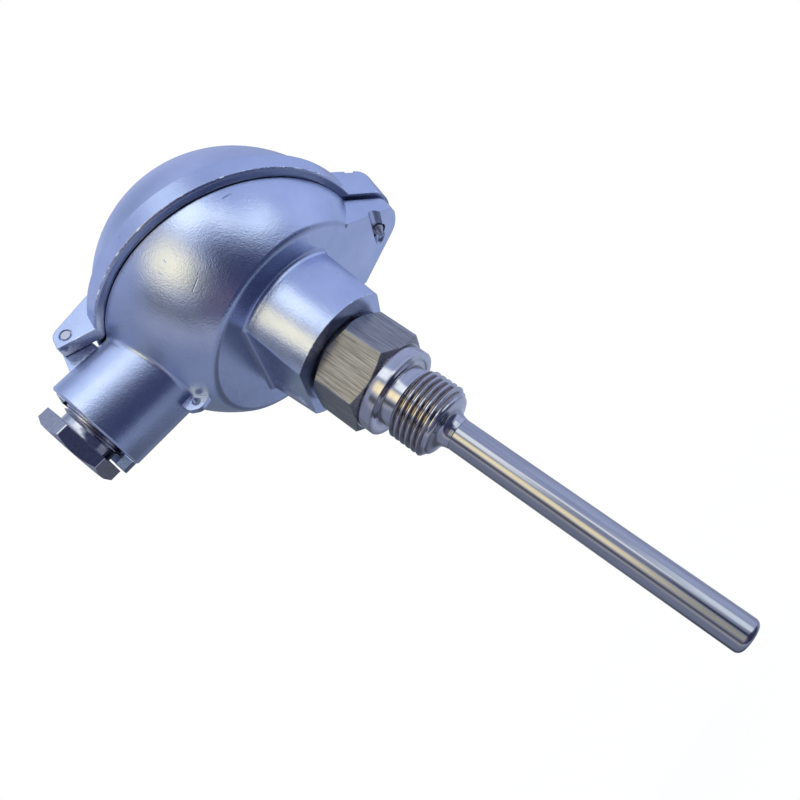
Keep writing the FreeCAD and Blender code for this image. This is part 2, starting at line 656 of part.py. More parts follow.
def cover_gasket():
    outer = SPIGOT_R + GASKET_EDGE
    low = SPIGOT_HEIGHT
    ring = cylinder(outer, low, low + GASKET_THICKNESS)
    return to_cover(ring.cut(cylinder(outer - GASKET_WIDTH, low - 1, low + GASKET_THICKNESS + 1)))


def hinge_pin():
    length = 2 * ARM_OUTER_Y
    pin = Part.makeCylinder(PIN_D / 2, length, V(PIN_U, -ARM_OUTER_Y, PIN_H), Y_AXIS)
    return to_cover(pin)


def cover_screw():
    """Captive screw with a slotted head, a waist under the ring and a pointed end."""
    core = SCREW_CORE_D / 2
    tip = -POCKET_CEILING - SCREW_STANDOUT
    seat = SCREW_HEAD_SEAT + SCREW_SEAT_GAP
    top = seat + SCREW_HEAD_HEIGHT
    body = revolve([(0, tip), (0.35, tip), (core, tip + SCREW_TIP_LENGTH), (core, seat),
                    (SCREW_HEAD_D / 2, seat), (SCREW_HEAD_D / 2, top - 0.5),
                    (SCREW_HEAD_D / 2 - 0.5, top), (0, top)])
    slot = Part.makeBox(2 * SCREW_HEAD_D, SCREW_SLOT, SCREW_HEAD_HEIGHT,
                        V(-SCREW_HEAD_D, -SCREW_SLOT / 2, top - 1.6))
    screw = body.cut(slot)
    screw.translate(V(SCREW_U, 0, 0))
    return to_cover(to_latch(screw))


def cover_screw_retainer():
    inner = SCREW_CORE_D / 2 + 0.05
    low = RETAINER_GAP
    ring = Part.makeCylinder(RETAINER_D / 2, RETAINER_THICKNESS, V(SCREW_U, 0, low), Z_AXIS)
    hole = Part.makeCylinder(inner, 4, V(SCREW_U, 0, -2), Z_AXIS)
    return to_cover(to_latch(ring.cut(hole)))


def cable_entry_plug():
    start = ENTRY_REACH + PLUG_STANDOUT
    end = start + PLUG_HEX_LENGTH
    nut = hexagon(PLUG_AF, start, end, PLUG_HEX_TURN)
    corner = PLUG_AF / math.sqrt(3)
    bevel = revolve([(0, start), (corner + 0.2, start), (corner + 0.2, end - 1.2),
                     (PLUG_AF / 2 - 0.4, end), (0, end)])
    thread_top = start - PLUG_NECK_LENGTH
    stem = revolve([
        (0, thread_top - PLUG_THREAD_LENGTH), (PLUG_THREAD_D / 2 - 0.8, thread_top - PLUG_THREAD_LENGTH),
        (PLUG_THREAD_D / 2, thread_top - PLUG_THREAD_LENGTH + 0.8), (PLUG_THREAD_D / 2, thread_top - 0.6),
        (PLUG_NECK_D / 2, thread_top), (PLUG_NECK_D / 2, start), (0, start)])
    hollow = cylinder(PLUG_BORE_D / 2, thread_top - PLUG_THREAD_LENGTH - 1,
                      thread_top - PLUG_THREAD_LENGTH + PLUG_BORE_DEPTH)
    return to_entry(nut.common(bevel).fuse(stem).cut(hollow), ENTRY_BORE_Z)


def insert_plate():
    plate = cylinder(PLATE_D / 2, PLATE_Z, PLATE_TOP)
    plate = plate.cut(cylinder(SHEATH_D / 2, PLATE_Z - 1, PLATE_TOP + 1))
    for side in (-1, 1):
        hole = V(0, side * SCREW_PITCH / 2, PLATE_Z - 1)
        plate = plate.cut(Part.makeCylinder(PLATE_HOLE_D / 2, PLATE_THICKNESS + 2, hole, Z_AXIS))
    return plate


def insert_sheath():
    top = PLATE_TOP + SHEATH_STANDOUT
    outer = cylinder(SHEATH_D / 2, SHEATH_TIP, top)
    rim = [e for e in outer.Edges if abs(e.BoundBox.ZMax - SHEATH_TIP) < 0.01]
    outer = outer.makeFillet(0.8, rim)
    return outer.cut(cylinder(SHEATH_D / 2 - SHEATH_WALL, SHEATH_TIP + SHEATH_TIP_THICKNESS, top + 1))


def sensor_element():
    low = SHEATH_TIP + SHEATH_TIP_THICKNESS
    return cylinder(SENSOR_D / 2, low, low + SENSOR_LENGTH)


def terminal_block():
    """Ceramic disc with a centre hole, two wells for the sprung screws and ribs between clamps."""
    block = cylinder(BLOCK_D / 2, PLATE_TOP, BLOCK_TOP)
    top_edge = [e for e in block.Edges if abs(e.BoundBox.ZMin - BLOCK_TOP) < 0.01]
    block = block.makeFillet(1.2, top_edge)
    half = CLAMP_SIZE / 2
    reach = CLAMP_X + half
    for side in (-1, 1):
        inner = side * (CLAMP_X - half)
        outer = side * reach
        rib = box(min(inner, outer), max(inner, outer), -BLOCK_RIB / 2, BLOCK_RIB / 2,
                  BLOCK_TOP - 1, BLOCK_TOP + BLOCK_RIB_HEIGHT)
        block = block.fuse(rib)
    block = block.cut(cylinder(BLOCK_BORE_D / 2, PLATE_TOP - 1, BLOCK_TOP + 1))
    for side in (-1, 1):
        well = V(0, side * SCREW_PITCH / 2, PLATE_TOP - 1)
        block = block.cut(Part.makeCylinder(BLOCK_SCREW_WELL_D / 2, BLOCK_HEIGHT + 2, well, Z_AXIS))
    return block


CLAMP_PLACES = [(sx * CLAMP_X, sy * CLAMP_Y) for sx in (-1, 1) for sy in (-1, 1)]
WIRED_CLAMPS = [0, 1, 3]
WIRE_H = BLOCK_TOP + CLAMP_HEIGHT / 2


def terminal_clamp(place):
    half = CLAMP_SIZE / 2
    x, y = place
    clamp = box(x - half, x + half, y - half, y + half, BLOCK_TOP, BLOCK_TOP + CLAMP_HEIGHT)
    along = Part.makeCylinder(CLAMP_BORE_D / 2, 20, V(x - 10, y, WIRE_H), X_AXIS)
    tapped = Part.makeCylinder(CLAMP_SCREW_D / 2, CLAMP_HEIGHT, V(x, y, WIRE_H), Z_AXIS)
    return clamp.cut([along, tapped])


def terminal_screw(place):
    x, y = place
    seat = BLOCK_TOP + CLAMP_HEIGHT
    low = WIRE_H + WIRE_D / 2
    shank = Part.makeCylinder(CLAMP_SCREW_D / 2 - 0.05, seat - low, V(x, y, low), Z_AXIS)
    head = Part.makeCylinder(CLAMP_SCREW_HEAD_D / 2, CLAMP_SCREW_HEAD, V(x, y, seat), Z_AXIS)
    slot = Part.makeBox(8, 0.8, 2, V(x - 4, y - 0.4, seat + CLAMP_SCREW_HEAD - 0.9))
    return shank.fuse(head).cut(slot)


def lead_wire(index):
    """Round lead from the sheath up through the block and straight into its clamp."""
    x, y = CLAMP_PLACES[index]
    side = 1 if x > 0 else -1
    start_x = side * WIRE_SPREAD
    start_y = WIRE_SPREAD if y > 0 else -WIRE_SPREAD
    face_x = x - side * CLAMP_SIZE / 2
    foot = V(start_x, start_y, PLATE_TOP + SHEATH_STANDOUT - 2)
    points = [foot, V(start_x, start_y, WIRE_H), V(face_x - side * WIRE_STRAIGHT, y, WIRE_H),
              V(face_x + side * WIRE_GRIP, y, WIRE_H)]
    circle = Part.Wire([Part.makeCircle(WIRE_D / 2, foot, Z_AXIS)])
    return rounded_path(points, WIRE_BEND).makePipeShell([circle], True, False)


def insert_screws(side):
    y = side * SCREW_PITCH / 2
    low = POST_TOP - INSERT_SCREW_BITE
    shank = Part.makeCylinder(INSERT_SCREW_D / 2, SPRING_TOP - low, V(0, y, low), Z_AXIS)
    head = Part.makeCylinder(INSERT_HEAD_D / 2, INSERT_HEAD_HEIGHT, V(0, y, SPRING_TOP), Z_AXIS)
    slot = Part.makeBox(12, INSERT_SLOT, 3, V(-6, y - INSERT_SLOT / 2, SPRING_TOP + INSERT_HEAD_HEIGHT - 1.2))
    return shank.fuse(head).cut(slot)


def insert_spring(side):
    """Coil with flat-sided wire: rings of corners along the helix, joined by triangles."""
    radius = (SPRING_D - SPRING_WIRE) / 2
    rise = SPRING_LENGTH - SPRING_WIRE
    steps = int(SPRING_TURNS * SPRING_STEPS)
    rings = []
    for k in range(steps + 1):
        turn = 2 * math.pi * SPRING_TURNS * k / steps
        low = PLATE_TOP + SPRING_WIRE / 2 + rise * k / steps
        ring = []
        for j in range(SPRING_SIDES):
            around = 2 * math.pi * j / SPRING_SIDES
            reach = radius + SPRING_WIRE / 2 * math.cos(around)
            ring.append(V(reach * math.cos(turn), reach * math.sin(turn) + side * SCREW_PITCH / 2,
                          low + SPRING_WIRE / 2 * math.sin(around)))
        rings.append(ring)
    triangles = []
    for near, far in zip(rings, rings[1:]):
        for j in range(SPRING_SIDES):
            n = (j + 1) % SPRING_SIDES
            triangles.append([near[j], far[j], near[n]])
            triangles.append([near[n], far[j], far[n]])
    faces = [Part.Face(Part.makePolygon(t + t[:1])) for t in triangles]
    for ring in (rings[0], rings[-1]):
        faces.append(Part.Face(Part.makePolygon(ring + ring[:1])))
    shell = Part.makeShell(faces)
    shell.sewShape()
    coil = Part.makeSolid(shell)
    if coil.Volume < 0:
        coil.reverse()
    return coil


def earth_screw():
    seat = FLOOR_Z + EARTH_BOSS_HEIGHT + EARTH_WASHER_THICKNESS
    low = FLOOR_Z + EARTH_BOSS_HEIGHT - EARTH_BITE
    shank = Part.makeCylinder(EARTH_SCREW_D / 2, seat - low, V(EARTH_X, 0, low), Z_AXIS)
    head = Part.makeCylinder(EARTH_HEAD_D / 2, EARTH_HEAD_HEIGHT, V(EARTH_X, 0, seat), Z_AXIS)
    slot = Part.makeBox(10, INSERT_SLOT, 3, V(EARTH_X - 5, -INSERT_SLOT / 2, seat + EARTH_HEAD_HEIGHT - 1.1))
    return shank.fuse(head).cut(slot)


def earth_washer():
    low = FLOOR_Z + EARTH_BOSS_HEIGHT
    ring = Part.makeCylinder(EARTH_WASHER_D / 2, EARTH_WASHER_THICKNESS, V(EARTH_X, 0, low), Z_AXIS)
    hole = Part.makeCylinder(EARTH_SCREW_D / 2 + 0.1, 6, V(EARTH_X, 0, low - 2), Z_AXIS)
    return ring.cut(hole)


def build():
    """Every node of the part, by name."""
    nodes = {
        "process_fitting": process_fitting(),
        "stem_tube": stem_tube(),
        "head_housing": head_housing(),
        "head_cover": head_cover(),
        "cover_gasket": cover_gasket(),
        "hinge_pin": hinge_pin(),
        "cover_screw": cover_screw(),
        "cover_screw_retainer": cover_screw_retainer(),
        "cable_entry_plug": cable_entry_plug(),
        "insert_plate": insert_plate(),
        "insert_sheath": insert_sheath(),
        "sensor_element": sensor_element(),
        "terminal_block": terminal_block(),
        "earth_screw": earth_screw(),
        "earth_washer": earth_washer(),
    }
    for number, side in ((1, -1), (2, 1)):
        nodes["insert_screw_%d" % number] = insert_screws(side)
        nodes["insert_spring_%d" % number] = insert_spring(side)
    for number, place in enumerate(CLAMP_PLACES, 1):
        nodes["terminal_clamp_%d" % number] = terminal_clamp(place)
        nodes["terminal_screw_%d" % number] = terminal_screw(place)
    for number, index in enumerate(WIRED_CLAMPS, 1):
        nodes["lead_wire_%d" % number] = lead_wire(index)
    return nodes


def main():
    os.makedirs("parts", exist_ok=True)
    for name, shape in build().items():
        solids = len(shape.Solids)
        print("%-22s solids %d valid %s volume %.1f" % (name, solids, shape.isValid(), shape.Volume))
        shape.exportStep(os.path.join("parts", name + ".step"))


main()
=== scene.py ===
# %% [markdown]
# Resistance thermometer with an inclined connection head.
# The CAD model comes in as a fixed frame, in metres: +Z runs up the probe's axis, the cable entry
# and the hinge are at -X and the origin is the sealing face above the process thread. The CAD
# already holds the castings, so this lesson is about finishes, threads and studio light.

# %% Load the frame
import math

import bpy
import numpy as np
from mathutils import Matrix, Vector


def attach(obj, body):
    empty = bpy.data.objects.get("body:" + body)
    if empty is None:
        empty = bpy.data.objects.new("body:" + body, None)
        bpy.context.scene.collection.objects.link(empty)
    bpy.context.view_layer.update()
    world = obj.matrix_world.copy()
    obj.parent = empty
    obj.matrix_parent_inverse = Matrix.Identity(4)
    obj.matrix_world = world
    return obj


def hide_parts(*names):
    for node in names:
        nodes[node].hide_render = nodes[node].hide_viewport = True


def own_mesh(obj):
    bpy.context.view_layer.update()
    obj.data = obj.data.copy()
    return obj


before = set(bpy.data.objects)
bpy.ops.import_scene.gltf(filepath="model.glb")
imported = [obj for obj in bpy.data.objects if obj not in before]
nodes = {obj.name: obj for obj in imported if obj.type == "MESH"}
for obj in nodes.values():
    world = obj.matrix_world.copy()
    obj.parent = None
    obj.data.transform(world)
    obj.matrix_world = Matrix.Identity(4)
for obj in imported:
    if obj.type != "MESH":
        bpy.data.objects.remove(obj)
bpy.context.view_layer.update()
MM = 0.001


def new_object(name, data):
    """Object in the scene that shows the given data."""
    made = bpy.data.objects.new(name, data)
    bpy.context.scene.collection.objects.link(made)
    return made


def wall_faces(grid):
    """Four-sided faces between the rows of a grid of point numbers; each row closes on itself."""
    beside = np.roll(grid, -1, axis=1)
    return np.stack([grid[:-1], beside[:-1], beside[1:], grid[1:]], axis=-1).reshape(-1, 4).tolist()


# %% [markdown]
# The camera is close to the object and looks up at it from below, rolled by a little more than half
# a right angle. Two directions and one place say all of that: the way it looks, and what is to its
# right.

# %% Camera
CAMERA_PLACE = Vector((-59.3, -172.7, -67.2)) * MM
CAMERA_FORWARD = Vector((0.2984, 0.8909, 0.3423)).normalized()
CAMERA_RIGHT = Vector((0.6346, 0.0827, -0.7684))
CAMERA_LENS, CAMERA_SENSOR = 32.815, 36.0

side = (CAMERA_RIGHT - CAMERA_FORWARD * CAMERA_RIGHT.dot(CAMERA_FORWARD)).normalized()
up = side.cross(CAMERA_FORWARD)
camera_data = bpy.data.cameras.new("camera")
camera_data.lens = CAMERA_LENS
camera_data.sensor_width = CAMERA_SENSOR
camera_data.clip_start = 0.01
camera_data.clip_end = 20.0
camera = new_object("camera", camera_data)
turn = Matrix((side, up, -CAMERA_FORWARD)).transposed().to_4x4()
camera.matrix_world = Matrix.Translation(CAMERA_PLACE) @ turn
bpy.context.scene.camera = camera
bpy.context.scene.view_settings.view_transform = "Standard"
print("camera", round(camera_data.lens, 1), "mm at", [round(v, 3) for v in CAMERA_PLACE])

# %% [markdown]
# A material is a small graph of nodes. These helpers add a node, set its inputs and link them, so
# each finish below reads as a list of what the surface does.

# %% Helpers for materials
def new_material(name):
    """Empty node material with its output and a Principled shader."""
    material = bpy.data.materials.new(name)
    material.use_nodes = True
    tree = material.node_tree
    tree.nodes.clear()
    output = tree.nodes.new("ShaderNodeOutputMaterial")
    shader = tree.nodes.new("ShaderNodeBsdfPrincipled")
    tree.links.new(shader.outputs["BSDF"], output.inputs["Surface"])
    return material, tree, shader


def connect(tree, socket, value):
    """Links an input socket to an output, or gives it a plain value."""
    if isinstance(value, bpy.types.NodeSocket):
        tree.links.new(value, socket)
    else:
        socket.default_value = value


def add(tree, kind, values=None, **settings):
    """One node: settings are its own properties, values its input sockets."""
    node = tree.nodes.new("ShaderNode" + kind)
    for key, value in settings.items():
        setattr(node, key, value)
    for key, value in (values or {}).items():
        connect(tree, node.inputs[key], value)
    return node


def object_place(tree, scale=(1, 1, 1)):
    """Object coordinates in metres, stretched by scale."""
    source = add(tree, "TexCoord")
    mapping = add(tree, "Mapping", {"Vector": source.outputs["Object"], "Scale": scale})
    return mapping.outputs["Vector"]


def split(tree, vector):
    """The three sockets X, Y and Z of a vector."""
    return add(tree, "SeparateXYZ", {"Vector": vector}).outputs


def noise(tree, place, scale, detail=3.0, rough=0.5, distortion=0.0):
    node = add(tree, "TexNoise", {"Vector": place, "Scale": scale, "Detail": detail,
                                  "Roughness": rough, "Distortion": distortion})
    return node.outputs["Fac"]


def ramp(tree, value, low, high, out_low=0.0, out_high=1.0):
    """Maps low..high of a value to out_low..out_high, clamped."""
    node = add(tree, "MapRange", {"Value": value, "From Min": low, "From Max": high,
                                  "To Min": out_low, "To Max": out_high})
    return node.outputs["Result"]


def math_node(tree, operation, first, second=0.0):
    return add(tree, "Math", {0: first, 1: second}, operation=operation).outputs[0]


def axis_distance(tree, parts):
    """How far a place is from the Z axis, from its X and Y sockets."""
    squares = [math_node(tree, "MULTIPLY", parts[axis], parts[axis]) for axis in ("X", "Y")]
    return math_node(tree, "SQRT", math_node(tree, "ADD", *squares))


def mix_colour(tree, factor, first, second):
    """Goes from the first colour at 0 to the second at 1. The node has sockets for numbers and
    vectors too, so the ones for colours are picked by their place in its lists."""
    node = add(tree, "Mix", {"Factor": factor, 6: first, 7: second}, data_type="RGBA")
    return node.outputs[2]


def bump(tree, height, strength, distance, normal=None):
    values = {"Height": height, "Strength": strength, "Distance": distance}
    if normal is not None:
        values["Normal"] = normal
    return add(tree, "Bump", values).outputs["Normal"]


def surface(tree, shader, colour, metal, rough, normal=None):
    """Sets what every finish says: colour, metal, roughness and, where it has one, relief."""
    connect(tree, shader.inputs["Base Color"], colour)
    connect(tree, shader.inputs["Metallic"], metal)
    connect(tree, shader.inputs["Roughness"], rough)
    if normal is not None:
        connect(tree, shader.inputs["Normal"], normal)


def put_on(material, *names):
    """Gives CAD nodes a material in place of their own."""
    for name in names:
        data = nodes[name].data
        data.materials.clear()
        data.materials.append(material)


# %% [markdown]
# The floor lies far below the probe, pale and plain, and the world behind it is white for the
# camera. Both stay out of the picture's way: what shapes the metal is the tent in the next step.

# %% Floor and world
FLOOR_Z, FLOOR_REACH = -0.40, 6
FLOOR_PAINT = (0.92, 0.93, 0.95, 1)
SOFT_WORLD = (0.42, 0.46, 0.56, 1)
WHITE = (1, 1, 1, 1)
floor_mesh = bpy.data.meshes.new("floor")
floor_mesh.from_pydata([(x * FLOOR_REACH, y * FLOOR_REACH, FLOOR_Z)
                        for x, y in ((-1, -1), (1, -1), (1, 1), (-1, 1))], [], [(0, 1, 2, 3)])
floor = new_object("floor", floor_mesh)
floor.visible_glossy = False


def seen_ray(tree):
    """1 for rays from the camera, in a mirror or through glass, 0 for soft light."""
    rays = add(tree, "LightPath")
    mirrored = math_node(tree, "MAXIMUM", rays.outputs["Is Glossy Ray"],
                         rays.outputs["Is Transmission Ray"])
    return math_node(tree, "MAXIMUM", rays.outputs["Is Camera Ray"], mirrored)


floor_material, floor_tree, floor_shader = new_material("pale_floor")
surface(floor_tree, floor_shader, FLOOR_PAINT, 0.0, 0.9)
glow = add(floor_tree, "Emission", {"Color": WHITE, "Strength": 1.06})
glow_share = math_node(floor_tree, "MULTIPLY", seen_ray(floor_tree), 0.9)
blend_floor = add(floor_tree, "MixShader", {"Fac": glow_share})
floor_tree.links.new(floor_shader.outputs["BSDF"], blend_floor.inputs[1])
floor_tree.links.new(glow.outputs["Emission"], blend_floor.inputs[2])
floor_output = [n for n in floor_tree.nodes if n.type == "OUTPUT_MATERIAL"][0]
floor_tree.links.new(blend_floor.outputs["Shader"], floor_output.inputs["Surface"])
floor_mesh.materials.append(floor_material)
print("floor at", FLOOR_Z)

world = bpy.data.worlds.new("studio")
bpy.context.scene.world = world
world.use_nodes = True
world_tree = world.node_tree
world_tree.nodes.clear()
world_out = world_tree.nodes.new("ShaderNodeOutputWorld")
world_colour = mix_colour(world_tree, seen_ray(world_tree), SOFT_WORLD, WHITE)
background = add(world_tree, "Background", {"Color": world_colour, "Strength": 1.0})
world_tree.links.new(background.outputs["Background"], world_out.inputs["Surface"])

# %% [markdown]
# Metal shows what surrounds it, so the studio round the probe is painted on a big ball that only
# reflections and soft light see. To place a patch, follow a line of sight to where the metal should
# be bright or dark, mirror it on the surface there, and note the azimuth and elevation it leaves
# by. The result is a warm window on the cable entry's side of the camera, a cold one above the
# camera and black cloth below.

# %% Tent
TENT_R = 1.6
TENT_RINGS, TENT_SIDES = 24, 48
polar = np.linspace(0, np.pi, TENT_RINGS)[:, None]
around = np.linspace(0, 2 * np.pi, TENT_SIDES, endpoint=False)[None, :]
tent_points = np.stack([np.sin(polar) * np.cos(around), np.sin(polar) * np.sin(around),
                        np.cos(polar) + 0 * around], axis=-1) * TENT_R
tent_grid = np.arange(TENT_RINGS * TENT_SIDES).reshape(TENT_RINGS, TENT_SIDES)
tent_mesh = bpy.data.meshes.new("tent")
tent_mesh.from_pydata(tent_points.reshape(-1, 3).tolist(), [], wall_faces(tent_grid))
tent = new_object("tent", tent_mesh)
tent.visible_camera = False
tent.visible_shadow = False
tent.visible_transmission = False

# azimuth from and to, elevation from and to and softness of the border, all in degrees, then the
# colour; each patch is painted over the ones before it
ROOM = (0.37, 0.43, 0.62, 1)
PATCHES = [
    ("far side", 40, 190, -70, 60, 20, (0.27, 0.31, 0.44, 1)),
    ("far side bright", 38, 74, -60, 20, 8, (0.46, 0.53, 0.74, 1)),
    ("far floor", -10, 90, -90, -48, 14, (0.22, 0.26, 0.36, 1)),
    ("dark corner", 84, 128, -60, -4, 10, (0.11, 0.125, 0.175, 1)),
    ("grey corner", 80, 130, 0, 50, 8, (0.19, 0.22, 0.28, 1)),
    ("left wall", -184, -150, -48, 20, 12, (0.46, 0.48, 0.58, 1)),
    ("ceiling", -400, 400, 48, 140, 18, (0.51, 0.58, 0.84, 1)),
    ("zenith", -400, 400, 76, 140, 12, (0.34, 0.41, 0.59, 1)),
    ("right wall", -84, 24, -6, 40, 8, (0.47, 0.55, 0.84, 1)),
    ("right low wall", -40, 2, -30, 8, 8, (0.56, 0.65, 0.96, 1)),
    ("floor cloth", -158, -68, -120, -17, 6, (0.050, 0.060, 0.135, 1)),
    ("floor cloth right", -84, 4, -120, -36, 6, (0.060, 0.075, 0.15, 1)),
    ("purple cloth", -152, -116, -44, -20, 8, (0.16, 0.135, 0.21, 1)),
    ("low cold blob", -76, -44, -25, -5, 6, (1.10, 1.25, 1.42, 1)),
    ("cold window", -104, -78, 6, 42, 5, (1.38, 1.50, 1.60, 1)),
    ("cold window top", -106, -74, 38, 62, 8, (0.82, 0.95, 1.20, 1)),
    ("bright slit", -84, -74, -8, 8, 3, (1.40, 1.48, 1.55, 1)),
    ("dark left band", -164, -149, -24, 24, 4, (0.13, 0.14, 0.17, 1)),
    ("warm window", -140, -114, -7, 28, 8, (1.60, 1.43, 0.94, 1)),
    ("warm window foot", -140, -116, -18, -6, 5, (0.52, 0.53, 0.45, 1)),
    ("dark notch", -107, -93, -27, -6, 3, (0.055, 0.07, 0.12, 1)),
]


def smooth_step(tree, value, low, high):
    node = add(tree, "MapRange", {"Value": value, "From Min": low, "From Max": high},
               interpolation_type="SMOOTHSTEP")
    return node.outputs["Result"]


tent_material = bpy.data.materials.new("tent_light")
tent_material.use_nodes = True
tent_tree = tent_material.node_tree
tent_tree.nodes.clear()
tent_out = tent_tree.nodes.new("ShaderNodeOutputMaterial")
parts = split(tent_tree, object_place(tent_tree))
azimuth = math_node(tent_tree, "DEGREES", math_node(tent_tree, "ARCTAN2", parts["Y"], parts["X"]))
# the same, running on from 180 to 190 for patches that reach past the seam
azimuth_up = math_node(tent_tree, "ADD", azimuth, math_node(
    tent_tree, "MULTIPLY", math_node(tent_tree, "LESS_THAN", azimuth, -170.0), 360.0))
elevation = math_node(tent_tree, "DEGREES", math_node(
    tent_tree, "ARCSINE", math_node(tent_tree, "DIVIDE", parts["Z"], TENT_R)))
painted = ROOM
for _, az_from, az_to, el_from, el_to, soft, colour in PATCHES:
    turn_angle = azimuth_up if az_to > 180 else azimuth
    inside = 1.0
    for value, low, high in ((turn_angle, az_from, az_to), (elevation, el_from, el_to)):
        rise = smooth_step(tent_tree, value, low - soft, low + soft)
        fall = smooth_step(tent_tree, value, high + soft, high - soft)
        band = math_node(tent_tree, "MULTIPLY", rise, fall)
        inside = math_node(tent_tree, "MULTIPLY", band, inside)
    painted = mix_colour(tent_tree, inside, painted, colour)
tent_glow = add(tent_tree, "Emission", {"Color": painted, "Strength": 1.0})
tent_tree.links.new(tent_glow.outputs["Emission"], tent_out.inputs["Surface"])
tent_mesh.materials.append(tent_material)
print("patches painted on the tent", len(PATCHES))

# %% [markdown]
# Two soft boxes, one warm and one cold, stand near the painted windows. They are there for soft
# light and soft shadows, and stay out of the reflections, which the tent already gives.

# %% Lamps
AIM = Vector((0.0, 0.0, 0.045))


def soft_box(name, azimuth, elevation, distance, size, watts, colour):
    """Square lamp out from AIM along an azimuth and elevation, facing AIM."""
    a, e = math.radians(azimuth), math.radians(elevation)
    out = Vector((math.cos(a) * math.cos(e), math.sin(a) * math.cos(e), math.sin(e)))
    data = bpy.data.lights.new(name, "AREA")
    data.size = size
    data.energy = watts
    data.color = colour
    lamp = new_object(name, data)
    lamp.location = AIM + out * distance
    lamp.rotation_mode = "QUATERNION"
    lamp.rotation_quaternion = out.to_track_quat("Z", "Y")
    lamp.visible_glossy = False


soft_box("warm_box", -124, 16, 0.6, 0.25, 1.5, (1.0, 0.93, 0.80))
soft_box("window_box", -70, 16, 0.75, 0.35, 2.0, (0.82, 0.90, 1.0))

# %% [markdown]
# The head is a casting in aluminium with a wrinkled grain and a clear gloss, in one cool silver. A
# wrinkle of a little under a millimetre and one half as large break up the edge of every
# reflection. A few scratches cross them, and knocks have left bright chips along the edge of the
# cover's skirt and round the end of the neck.

# %% Cast aluminium
TILT = math.radians(18.0)
RIM_CENTRE = Vector((-2.163, 0.0, 58.843)) * MM
# places of edges in mm
SKIRT_RADIUS, SKIRT_BEVEL_TOP = 42.392, 0.45
NECK_RADIUS, NECK_FACE = 19.27, 20.0
BOSS_END = 58.0
CAST_COLOUR = (0.62, 0.68, 0.85, 1)
CAST_SHADE = (0.54, 0.60, 0.78, 1)
CAST_BRIGHT = (0.90, 0.94, 1.0, 1)
CAST_STOP_SHADE = (0.17, 0.20, 0.28, 1)
CAST_PIT = (0.20, 0.22, 0.30, 1)


def rim_place(tree):
    """Object coordinates turned into the cover's own frame: u, y and h in metres."""
    place = add(tree, "TexCoord").outputs["Object"]
    shifted = add(tree, "VectorMath", {0: place, 1: RIM_CENTRE}, operation="SUBTRACT").outputs[0]
    turned = add(tree, "VectorRotate", {"Vector": shifted, "Axis": (0, 1, 0), "Angle": -TILT},
                 rotation_type="AXIS_ANGLE")
    return turned.outputs["Vector"]


def edge_chips(tree, local, place, radius, height):
    """Small bright chips on a round edge; radius and height, in mm, say where the edge runs."""
    parts = split(tree, local)
    outside = ramp(tree, axis_distance(tree, parts), (radius - 0.35) * MM, (radius - 0.15) * MM)
    off_edge = math_node(tree, "ABSOLUTE", math_node(tree, "SUBTRACT", parts["Z"], height * MM))
    band = ramp(tree, off_edge, 0.06 * MM, 0.20 * MM, 1.0, 0.0)
    spots = ramp(tree, noise(tree, place, 210.0, detail=5.0, rough=0.75), 0.515, 0.59)
    return math_node(tree, "MULTIPLY", math_node(tree, "MULTIPLY", outside, band), spots)


def straight_mark(tree, place, start, end, width):
    """1 on the line from start to end, falling to 0 at a distance of width; all in mm."""
    start, along = Vector(start) * MM, (Vector(end) - Vector(start)) * MM
    offset = add(tree, "VectorMath", {0: place, 1: start}, operation="SUBTRACT").outputs[0]
    dot = add(tree, "VectorMath", {0: offset, 1: along}, operation="DOT_PRODUCT").outputs["Value"]
    share = ramp(tree, dot, 0.0, along.length_squared)
    nearest = add(tree, "VectorMath", {0: along, "Scale": share}, operation="SCALE").outputs[0]
    gap = add(tree, "VectorMath", {0: offset, 1: nearest}, operation="DISTANCE").outputs["Value"]
    return ramp(tree, gap, 0.0, width * MM, 1.0, 0.0)


# scratches: from, to and the distance at which they have faded out, in mm
HOUSING_MARKS = [
    ((1.7, -39.0, 54.3), (4.3, -38.7, 53.9), 0.16),
    ((-19.4, -30.4, 46.8), (-16.4, -32.2, 47.1), 0.20),
    ((-16.1, -32.6, 47.5), (-15.4, -33.1, 47.7), 0.15),
    ((-24.2, -32.0, 59.4), (-24.5, -31.6, 58.4), 0.16),
    ((-21.6, -32.9, 55.6), (-21.4, -32.8, 54.6), 0.13),
    ((-18.6, -34.8, 55.9), (-18.8, -34.5, 55.2), 0.13),
]
COVER_MARKS = [
    ((-21.5, -36.5, 69.2), (-20.9, -36.9, 68.5), 0.18),
    ((-23.4, -35.4, 68.7), (-23.4, -35.7, 67.5), 0.15),
]


